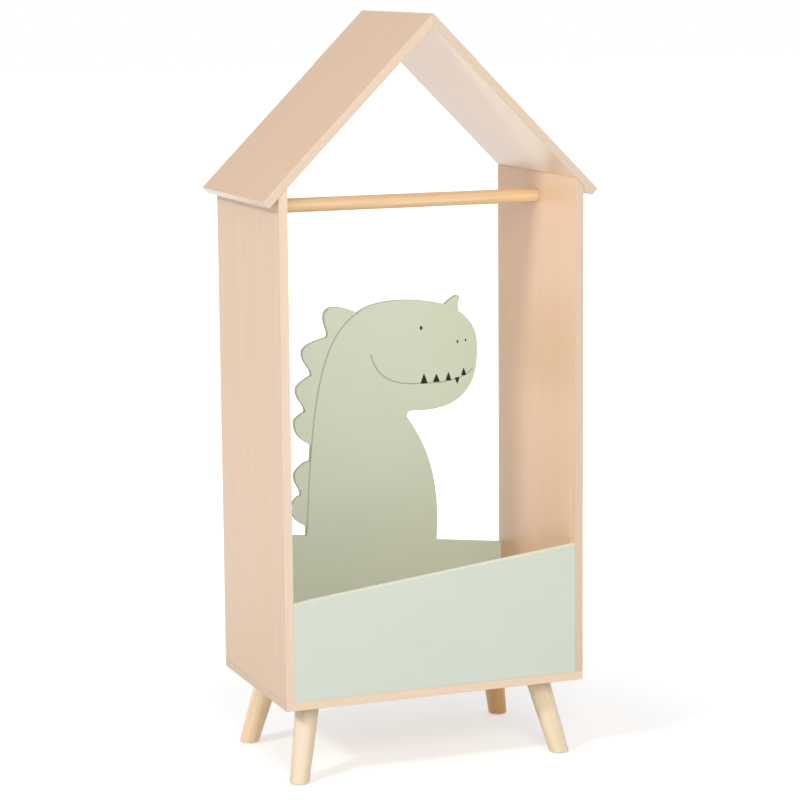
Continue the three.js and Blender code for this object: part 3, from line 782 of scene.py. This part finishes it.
def draw_out_curves(outline):
    """Runs smooth curves through the points, and keeps the real corners sharp."""
    bpy.ops.object.mode_set(mode="EDIT")
    bpy.ops.curve.select_all(action="SELECT")
    bpy.ops.curve.spline_type_set(type="BEZIER")
    bpy.ops.curve.handle_type_set(type="AUTOMATIC")
    close_edit()
    points = outline.data.splines[0].bezier_points
    for place, point in enumerate(points):
        way_in = point.co - points[place - 1].co
        way_out = points[(place + 1) % len(points)].co - point.co
        if way_in.angle(way_out) > CORNER_ANGLE:
            point.handle_left_type = "VECTOR"
            point.handle_right_type = "VECTOR"
    outline.data.resolution_u = OUTLINE_STEPS


def dinosaur_panel():
    """The back board with the animal: lacquered faces, and sawn edges that soaked their lacquer up."""
    node = "dinosaur_back_board"
    low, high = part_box(node)
    outline = front_outline(node, "dinosaur_panel")
    draw_out_curves(outline)
    bpy.ops.object.convert(target="MESH")
    piece = bpy.context.object
    edit(piece)
    bpy.ops.mesh.edge_face_add()
    bpy.ops.mesh.extrude_region_move(TRANSFORM_OT_translate={"value": (0, high.y - low.y, 0)})
    bpy.ops.mesh.select_all(action="SELECT")
    bpy.ops.mesh.normals_make_consistent(inside=False)
    close_edit()
    ease(piece, CUTOUT_EASE, segments=2, sharper_than=60, clamp=False)
    bore_box_board(piece, "back")
    stand_for(piece, "sage_board", node, sage_lacquer, fibreboard_edge)
    paint_faces(piece, fibreboard_edge, lambda normal, centre: abs(normal.y) < MOSTLY)
    smooth_below(piece, 20)


# Printed face, in millimetres across from the stand's middle and up from the floor

INK_PROUD = 0.12 * MM
LINE_WIDTH = 2.6 * MM
LINE_STEPS = 24

# Ovals: their middle, and their half width and half height
EYE = ((103, 729), (2.5, 4.0))
NOSTRILS = (((174, 700), (1.7, 3.0)), ((190, 702), (1.5, 2.6)))

# Teeth: their middle, width and height, which is less than 0 where the point is down
TEETH = (
    (108, 633.4, 14.5, 19.5),
    (132.2, 633.6, 14.5, 16),
    (156, 635.1, 12, 17),
    (173.2, 630.2, 10.5, -13),
    (186, 642.2, 11, 15),
)
TOOTH_ROUNDING = 2.6 * MM
TOOTH_CORNER = math.radians(95)

# Lines: knots, each a point and its two handles
SPINE_LINE = (
    ((-18, 763.5), (-18, 763.5), (-100, 721.5)),
    ((-121.5, 363.3), (-110, 569.5), (-121.5, 363.3)),
)
SMILE_LINE = (
    ((5, 687), (4, 690), (14, 648)),
    ((95, 628), (40, 628), (130, 626)),
    ((204, 650), (184, 626), (207, 653)),
)


def on_panel(x, z):
    """A point on the panel's front face, from millimetres across and up."""
    return Vector((x * MM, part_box("dinosaur_back_board")[0].y, z * MM))


def ink_piece(piece, ink):
    """Gives a print its ink and puts it on the stand."""
    piece.data.materials.append(ink)
    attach(piece, "root")


def ink_line(name, knots):
    """A printed line: a round curve, pressed flat."""
    deselect()
    bpy.ops.curve.primitive_bezier_curve_add()
    line = bpy.context.object
    line.name = name
    line.data.resolution_u = LINE_STEPS
    line.data.bevel_depth = LINE_WIDTH / 2
    line.data.bevel_resolution = 2
    line.data.use_fill_caps = True
    spline = line.data.splines[0]
    spline.bezier_points.add(len(knots) - 2)
    for point, (at, before, after) in zip(spline.bezier_points, knots):
        point.handle_left_type = "FREE"
        point.handle_right_type = "FREE"
        point.co = Vector((at[0], 0, at[1])) * MM
        point.handle_left = Vector((before[0], 0, before[1])) * MM
        point.handle_right = Vector((after[0], 0, after[1])) * MM
    pick(line)
    bpy.ops.object.convert(target="MESH")
    piece = bpy.context.object
    piece.scale = (1, 2 * INK_PROUD / LINE_WIDTH, 1)
    piece.location = on_panel(0, 0)
    settle(piece)
    smooth_below(piece, 60)
    ink_piece(piece, grey_green_ink)


def ink_dot(name, at, radii):
    """A printed oval: a disc of one millimetre, drawn out to its size."""
    piece = rod(name, (0, 0, 0), MM, 2 * INK_PROUD, (0, 1, 0), SMALL_SIDES)
    piece.scale = (radii[0], 1, radii[1])
    piece.location = on_panel(*at)
    settle(piece)
    ink_piece(piece, dark_green_ink)


def ink_tooth(name, x, z, width, height):
    """A printed tooth with soft corners."""
    deselect()
    turn = (math.pi / 2, 0, 0)
    bpy.ops.mesh.primitive_cylinder_add(vertices=3, radius=1, depth=2 * INK_PROUD, rotation=turn)
    piece = bpy.context.object
    piece.name = name
    settle(piece)
    size = piece.dimensions
    piece.scale = (width * MM / size.x, 1, abs(height) * MM / size.z)
    settle(piece)
    # the prism is widest at its foot: it is turned over where that is on the wrong side
    widest = max(piece.data.vertices, key=lambda vertex: abs(vertex.co.x)).co.z
    piece.rotation_euler = (0, 0 if widest * height < 0 else math.pi, 0)
    piece.location = on_panel(x, z)
    settle(piece)
    bevel = piece.modifiers.new("soft_corners", "BEVEL")
    bevel.width = TOOTH_ROUNDING
    bevel.segments = 5
    bevel.limit_method = "ANGLE"
    bevel.angle_limit = TOOTH_CORNER
    apply_modifier(piece, bevel)
    ink_piece(piece, dark_green_ink)


def printed_face():
    """The line down the back, and the animal's smile, eye, nostrils and teeth."""
    ink_line("printed_spine_line", SPINE_LINE)
    ink_line("printed_smile", SMILE_LINE)
    ink_dot("printed_eye", *EYE)
    for name, nostril in zip(("printed_nostril_left", "printed_nostril_right"), NOSTRILS):
        ink_dot(name, *nostril)
    for number, tooth in enumerate(TEETH, 1):
        ink_tooth(f"printed_tooth_{number}", *tooth)


# Rail and legs

# Early and late wood, the grain's lean off the rail's axis, and where in the wood the rail was cut
RAIL_TONES = ("FBE1BA", "E9BA80")
RAIL_GRAIN = (1, 0.004, 0.012)
RAIL_SHIFT = (0.2, 0.013, 0.004)


def pine_rail():
    """The hanging rail: a planed round with eased ends, let into both side panels."""
    node = "hanging_rail"
    size = extent(node)
    piece = rod("pine_rail", middle(node), size.z / 2, size.x, (1, 0, 0), ROUND_SIDES)
    ease(piece, RAIL_END_EASE)
    smooth_below(piece, 35)
    wood = pine("pine_rail_wood", RAIL_GRAIN, *RAIL_TONES, RAIL_SHIFT)
    stand_for(piece, "pine_rail", node, wood)


# Each leg has its own early and late wood, set leg by leg to the light it gets: the back legs' deeper
# orange is painted warm shade from under the base
LEG_TONES_WITH_PAINTED_SHADE = {
    "front_left": ("EEDFC7", "E4C7A1"),
    "front_right": ("F4E3C8", "E7C89A"),
    "back_left": ("FFEDCD", "FBC183"),
    "back_right": ("FFDCA4", "FFB266"),
}

# How far off a leg's level cut the points of its rim may lie
CUT_REACH = 0.05 * MM


def leg_axis(corner):
    """From a leg's top centre to its foot centre, worked out from the insert and the glide."""
    top = middle(f"leg_insert_{corner}")
    top.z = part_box(f"leg_{corner}")[1].z
    foot = middle(f"glide_{corner}")
    foot.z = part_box(f"leg_{corner}")[0].z
    return top, foot


def pine_leg(corner):
    """A turned taper, sawn level at the board and at the glide."""
    node = f"leg_{corner}"
    low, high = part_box(node)
    top, foot = leg_axis(corner)
    axis = (foot - top).normalized()
    lean = math.acos(-axis.z)
    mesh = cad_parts[node].data
    top_radius = leg_radius(mesh, top, axis, high.z)
    foot_radius = leg_radius(mesh, foot, axis, low.z)
    spare = top_radius * math.tan(lean) + CUT_OVERRUN
    length = (foot - top).length
    taper = (top_radius - foot_radius) / length
    turn = axis.to_track_quat("Z", "Y").to_euler()
    deselect()
    bpy.ops.mesh.primitive_cone_add(
        vertices=ROUND_SIDES, radius1=top_radius + taper * spare, radius2=foot_radius - taper * spare,
        depth=length + 2 * spare, location=(top + foot) / 2, rotation=turn)
    piece = bpy.context.object
    piece.name = f"pine_{node}"
    settle(piece)
    saw(piece, (0, 0, high.z), (0, 0, 1))
    saw(piece, (0, 0, low.z), (0, 0, -1))
    ease_rim(piece, low.z, LEG_FOOT_EASE)
    ease_rim(piece, high.z, LEG_TOP_EASE)
    holes = [pin_hole(f"leg_insert_{corner}"), pin_hole(f"leg_dowel_{corner}"), nail_hole(corner)]
    cut_out(piece, holes)
    smooth_below(piece, 35)
    number = CORNERS.index(corner)
    shift = (0.1 * number, 0.017 * number, 0.3)
    # the leg's tones hold painted shade for its place under the base
    wood = pine(f"pine_leg_wood_{corner}", axis, *LEG_TONES_WITH_PAINTED_SHADE[corner], shift)
    stand_for(piece, "pine_leg", node, wood)


def leg_radius(mesh, centre, axis, level):
    """A leg's radius across its axis, from the outline of its level cut."""
    reach = []
    for vertex in mesh.vertices:
        if abs(vertex.co.z - level) < CUT_REACH:
            offset = vertex.co - centre
            reach.append((offset - axis * offset.dot(axis)).length)
    return max(reach)


def ease_rim(piece, level, width):
    """Rounds the rim of a level cut."""
    edit(piece)
    bpy.ops.mesh.select_all(action="DESELECT")
    close_edit()
    for edge in piece.data.edges:
        ends = [piece.data.vertices[index].co.z for index in edge.vertices]
        edge.select = all(abs(height - level) < SAME_LEVEL for height in ends)
    for vertex in piece.data.vertices:
        vertex.select = abs(vertex.co.z - level) < SAME_LEVEL
    bpy.ops.object.mode_set(mode="EDIT")
    bpy.ops.mesh.select_mode(type="EDGE")
    bpy.ops.mesh.bevel(offset=width, segments=4, affect="EDGES")
    bpy.ops.mesh.select_mode(type="VERT")
    close_edit()


# Glides: the nail, the disc, and its domed lower and small upper rim
GLIDE_NAIL_RADIUS = 1.25 * MM
GLIDE_NAIL_POINT = 2 * MM
GLIDE_THICKNESS = 2 * MM
GLIDE_RIM = 0.5 * MM
GLIDE_RIM_RISE = 0.15
GLIDE_TOP_RIM = 0.2 * MM


def nail_hole(corner):
    """The hole for a glide's nail, up into the foot."""
    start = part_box(f"leg_{corner}")[0].z - CUT_OVERRUN
    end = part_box(f"glide_{corner}")[1].z + HOLE_GAP
    centre = middle(f"glide_{corner}")
    centre.z = (start + end) / 2
    return rod("cutter", centre, GLIDE_NAIL_RADIUS + HOLE_GAP, end - start, (0, 0, 1), NAIL_SIDES)


# Small fittings

def glides():
    """Nail-on glides: a domed-edge disc on a nail, turned once and copied."""
    low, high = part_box("glide_front_left")
    radius = (high.x - low.x) / 2
    height = high.z - low.z
    nail = GLIDE_NAIL_RADIUS
    top = GLIDE_THICKNESS
    profile = [(0, 0), (radius - 2 * GLIDE_RIM, 0), (radius - GLIDE_RIM, GLIDE_RIM_RISE * GLIDE_RIM)]
    profile += [(radius, GLIDE_RIM), (radius, top - GLIDE_TOP_RIM), (radius - GLIDE_TOP_RIM, top)]
    profile += [(nail, top), (nail, height - GLIDE_NAIL_POINT), (0, height)]
    first = lathe("glide_form", profile, FITTING_SIDES)
    smooth_below(first, 40)
    for corner in CORNERS:
        node = f"glide_{corner}"
        at = middle(node)
        at.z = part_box(node)[0].z
        piece = put(copy_of(first, f"nylon_{node}"), at)
        stand_for(piece, "glide_plastic", node, nylon)
    bpy.data.objects.remove(first)


def screw_form(kind):
    """A countersunk screw with a hexagon socket, head at the origin and point up."""
    form = lathe(f"{kind}_form", screw_profile(kind), SCREW_SIDES)
    key_radius = SOCKET_ACROSS / math.sqrt(3) * MM
    key = rod("cutter", (0, 0, 0), key_radius, 2 * SOCKET_DEPTH * MM, (0, 0, 1), sides=6)
    cut_out(form, [key])
    smooth_below(form, 40)
    return form


def screws():
    """Screws and bolts: each kind turned once and copied."""
    for kind in SCREWS:
        form = screw_form(kind)
        for node in corner_names(kind):
            at, turn = screw_place(node)
            piece = put(copy_of(form, f"steel_{node}"), at, turn)
            stand_for(piece, "zinc_steel", node, zinc)
        bpy.data.objects.remove(form)


CAM_RIM = 0.4 * MM
CAM_RING_WIDTH = 1.2 * MM
CAM_RING_DEPTH = 0.35 * MM
CAM_SLOT_WIDTH = 1.5 * MM
CAM_SLOT_DEPTH = 1.8 * MM
CAM_SLOT_MARGIN = 1.6 * MM
CAM_MOUTH_RADIUS = 3.1 * MM


def cam_form(radius, height, bolt_depth):
    """A die-cast cam, its face up at the origin: a raised ring, a cross slot and the mouth for the bolt."""
    edge = radius - CAM_RIM
    ring = radius - CAM_RING_WIDTH
    profile = [(0, -height), (edge, -height), (radius, -height + CAM_RIM), (radius, -CAM_RIM), (edge, 0)]
    profile += [(ring, 0), (ring - CAM_RING_DEPTH, -CAM_RING_DEPTH), (0, -CAM_RING_DEPTH)]
    form = lathe("cam_form", profile, FITTING_SIDES)
    slot_length = 2 * (ring - CAM_SLOT_MARGIN)
    slot_height = 2 * CAM_SLOT_DEPTH
    first = block("cutter", (0, 0, 0), (slot_length, CAM_SLOT_WIDTH, slot_height))
    second = block("cutter", (0, 0, 0), (CAM_SLOT_WIDTH, slot_length, slot_height))
    mouth_at = (-radius / 2, 0, -bolt_depth)
    mouth = rod("cutter", mouth_at, CAM_MOUTH_RADIUS, radius, (1, 0, 0), SMALL_SIDES)
    for cutter in (first, second, mouth):
        cut_out(form, [cutter])
    smooth_below(form, 35)
    return form


def cams():
    """Front cams open inside the box, back cams behind the panel. Each mouth faces its board's end."""
    for board in ("front", "back"):
        low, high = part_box(f"{board}_cam_left")
        bolt = middle(f"{board}_cam_bolt_left")
        form = cam_form((high.x - low.x) / 2, high.y - low.y, high.y - bolt.y)
        for side in SIDES:
            node = f"{board}_cam_{side}"
            at = middle(node)
            at.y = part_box(node)[1].y
            flip = 0 if side == "left" else math.pi
            turn = (Matrix.Rotation(-math.pi / 2, 4, "X") @ Matrix.Rotation(flip, 4, "Z")).to_euler()
            piece = put(copy_of(form, f"steel_{node}"), at, turn)
            stand_for(piece, "zinc_steel", node, zinc)
        bpy.data.objects.remove(form)


def dress_hidden_nodes():
    """The fixings inside the boards keep their solids and get their finish."""
    for name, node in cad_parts.items():
        if node.hide_render:
            continue
        finish = dowel_beech if "dowel" in name else zinc
        node.data.materials.clear()
        node.data.materials.append(finish)


# Studio

# The floor, in metres, and its glow, which rises from near the stand to the white background
FLOOR_SIZE = 60.0
FLOOR_GREY = 0.7
LIFT_NEAR = 0.48
LIFT_FAR = 1.0
LIFT_STARTS = 0.5
LIFT_ENDS = 1.8

# The room's even light, and how high a mirrored ray may go and still see white
WORLD_LIGHT = 0.55
GLOSS_WHITE_BELOW = 0.05
GLOSS_GREY_ABOVE = 0.35
SEEN_RAYS = ("Is Camera Ray",)
GLOSS_RAYS = ("Is Glossy Ray", "Is Transmission Ray")

# Lamps, in metres and watts
SOFT_BOXES = {
    "key_light": {"at": (-5.76, -2.69, 4.6), "size": 0.8, "power": 190},
    "front_light": {"at": (-0.75, -4.46, 2.74), "size": 2.0, "power": 94},
}


def ray_share(tree, kinds):
    """1 for rays of these kinds, else 0."""
    path = add_node(tree, "LightPath")
    share = (path, kinds[0])
    for kind in kinds[1:]:
        either = add_node(
            tree, "Math", {"operation": "MAXIMUM"}, {"Value": share, "Value_001": (path, kind)})
        share = (either, "Value")
    return share


def studio_floor():
    """White paper that keeps the stand's shadow, and fades into the white background further off."""
    deselect()
    bpy.ops.mesh.primitive_plane_add(size=FLOOR_SIZE, location=(0, 0, 0))
    floor = bpy.context.object
    floor.name = "studio_floor"
    material, tree = new_material("white_paper")
    paper = add_node(tree, "BsdfDiffuse", {"Color": (FLOOR_GREY, FLOOR_GREY, FLOOR_GREY, 1)})
    place = add_node(tree, "TexCoord")
    away = add_node(tree, "VectorMath", {"operation": "LENGTH"}, {"Vector": (place, "Object")})
    lift = add_node(
        tree, "MapRange",
        {"From Min": LIFT_STARTS, "From Max": LIFT_ENDS, "To Min": LIFT_NEAR, "To Max": LIFT_FAR},
        {"Value": (away, "Value")})
    strength = add_node(
        tree, "Math", {"operation": "MULTIPLY"},
        {"Value": (lift, "Result"), "Value_001": ray_share(tree, SEEN_RAYS + GLOSS_RAYS)})
    glow = add_node(tree, "Emission", {"Color": (1, 1, 1, 1)}, {"Strength": (strength, "Value")})
    both = add_node(
        tree, "AddShader", links={"Shader": (paper, "BSDF"), "Shader_001": (glow, "Emission")})
    add_node(tree, "OutputMaterial", links={"Surface": (both, "Shader")})
    floor.data.materials.append(material)


def studio_world():
    """Even white light from all round, while the camera sees plain white.

    Gloss sees that white near the floor and the plain light of the room higher up.
    """
    world = bpy.data.worlds.new("studio_world")
    bpy.context.scene.world = world
    world.use_nodes = True
    tree = world.node_tree
    tree.nodes.clear()
    place = add_node(tree, "TexCoord")
    height = add_node(tree, "SeparateXYZ", links={"Vector": (place, "Generated")})
    white_share = add_node(
        tree, "MapRange",
        {"From Min": GLOSS_WHITE_BELOW, "From Max": GLOSS_GREY_ABOVE, "To Min": 1.0, "To Max": 0.0},
        {"Value": (height, "Z")})
    in_gloss = add_node(
        tree, "Math", {"operation": "MULTIPLY"},
        {"Value": (white_share, "Result"), "Value_001": ray_share(tree, GLOSS_RAYS)})
    white = add_node(
        tree, "Math", {"operation": "MAXIMUM"},
        {"Value": (in_gloss, "Value"), "Value_001": ray_share(tree, SEEN_RAYS)})
    strength = add_node(
        tree, "MapRange", {"To Min": WORLD_LIGHT, "To Max": 1.0}, {"Value": (white, "Value")})
    background = add_node(
        tree, "Background", {"Color": (1, 1, 1, 1)}, {"Strength": (strength, "Result")})
    add_node(tree, "OutputWorld", links={"Surface": (background, "Background")})


def soft_box(name, lamp):
    """A square soft box that faces the middle of the stand."""
    data = bpy.data.lights.new(name, "AREA")
    data.shape = "SQUARE"
    data.size = lamp["size"]
    data.energy = lamp["power"]
    light = bpy.data.objects.new(name, data)
    light.location = lamp["at"]
    light.rotation_euler = (CAMERA_TARGET - light.location).to_track_quat("-Z", "Y").to_euler()
    bpy.context.scene.collection.objects.link(light)


def studio_camera():
    """The photograph's camera, from its solved direction, distance and roll."""
    back = Vector((
        math.sin(CAMERA_AZIMUTH) * math.cos(CAMERA_ELEVATION),
        -math.cos(CAMERA_AZIMUTH) * math.cos(CAMERA_ELEVATION),
        math.sin(CAMERA_ELEVATION)))
    right = (-back).cross(Vector((0, 0, 1))).normalized()
    up = right.cross(-back)
    across = right * math.cos(CAMERA_ROLL) + up * math.sin(CAMERA_ROLL)
    upright = up * math.cos(CAMERA_ROLL) - right * math.sin(CAMERA_ROLL)
    data = bpy.data.cameras.new("camera")
    data.sensor_width = CAMERA_SENSOR
    data.lens = CAMERA_LENS
    camera = bpy.data.objects.new("camera", data)
    turn = Matrix((across, upright, back)).transposed().to_4x4()
    camera.matrix_world = Matrix.Translation(CAMERA_TARGET + back * CAMERA_DISTANCE) @ turn
    bpy.context.scene.collection.objects.link(camera)
    bpy.context.scene.camera = camera


# The stand, piece by piece, then the studio

for side in SIDES:
    side_board(side)
    roof_board(side)
floor_board()
mint_board()
dinosaur_panel()
printed_face()
pine_rail()
for corner in CORNERS:
    pine_leg(corner)
glides()
screws()
cams()
dress_hidden_nodes()
studio_floor()
studio_world()
for name, lamp in SOFT_BOXES.items():
    soft_box(name, lamp)
studio_camera()
bpy.context.scene.view_settings.view_transform = "Standard"
